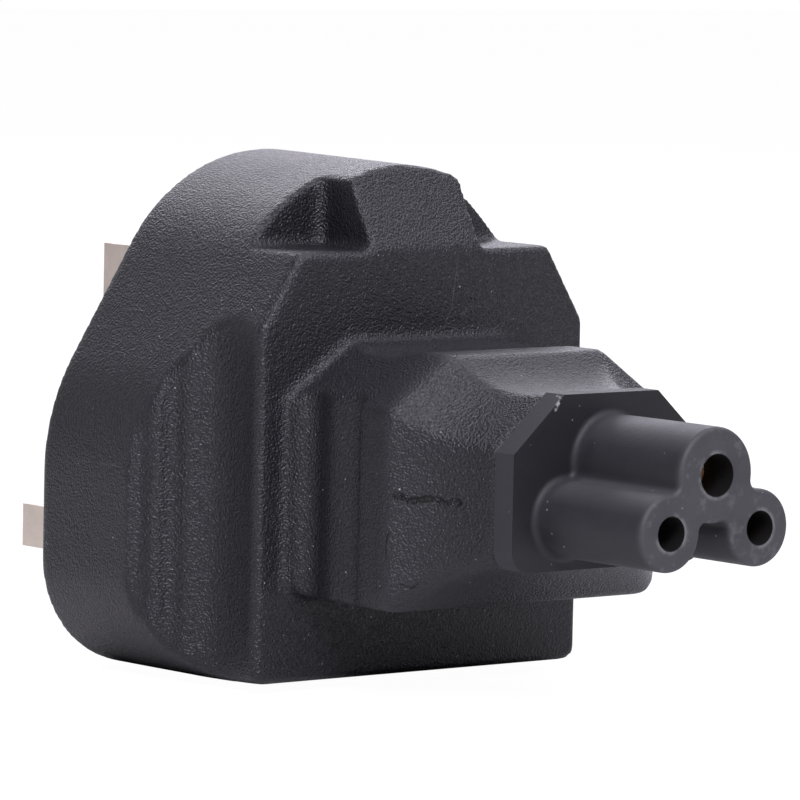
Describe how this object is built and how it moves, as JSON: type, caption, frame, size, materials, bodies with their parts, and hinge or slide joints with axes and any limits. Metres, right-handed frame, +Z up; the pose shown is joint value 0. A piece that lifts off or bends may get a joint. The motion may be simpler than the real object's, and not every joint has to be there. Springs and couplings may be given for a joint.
{
  "type": "plug adapter",
  "caption": "Moulded mains plug adapter: flat blade wall plug at the back, cloverleaf socket nose in front, waisted grip with finger scoops.",
  "frame": {"origin": "bottom centre of the bounding box: under the middle of the length, on the plane of the rim's underside", "axes": "X runs across the plug, +Y points at the wall along the pins, +Z is up towards the earth pin"},
  "size_m": [0.0492, 0.0878, 0.0473],
  "materials": {
    "body_plastic": "fine spark-eroded grain",
    "insert_plastic": "satin, smooth",
    "carrier_plastic": "satin, smooth",
    "cover_plastic": "satin, smooth",
    "sleeve_plastic": "smooth",
    "pin_metal": "nickel plated, drawn",
    "contact_metal": "bright, formed",
    "clip_metal": "bright, formed",
    "cap_metal": "nickel plated",
    "fuse_ceramic": "unglazed",
    "fuse_sand": "packed grains",
    "element_metal": "drawn wire",
    "core_copper": "stranded wire",
    "live_insulation": "satin",
    "neutral_insulation": "satin",
    "earth_insulation": "satin"
  },
  "bodies": {
    "root": {"moulded_body": "body_plastic", "c5_insert": "insert_plastic", "insert_rear_cap": "insert_plastic", "live_socket": "contact_metal", "neutral_socket": "contact_metal", "earth_socket": "contact_metal", "pin_carrier": "carrier_plastic", "earth_pin": "pin_metal", "live_pin": "pin_metal", "neutral_pin": "pin_metal", "live_pin_sleeve": "sleeve_plastic", "neutral_pin_sleeve": "sleeve_plastic", "fuse_cover": "cover_plastic", "fuse_tube": "fuse_ceramic", "fuse_filler": "fuse_sand", "fuse_element": "element_metal", "fuse_cap_supply": "cap_metal", "fuse_cap_load": "cap_metal", "fuse_clip_supply": "clip_metal", "fuse_clip_load": "clip_metal", "live_wire_core": "core_copper", "live_wire_insulation": "live_insulation", "neutral_wire_core": "core_copper", "neutral_wire_insulation": "neutral_insulation", "earth_wire_core": "core_copper", "earth_wire_insulation": "earth_insulation"}
  },
  "joints": []
}
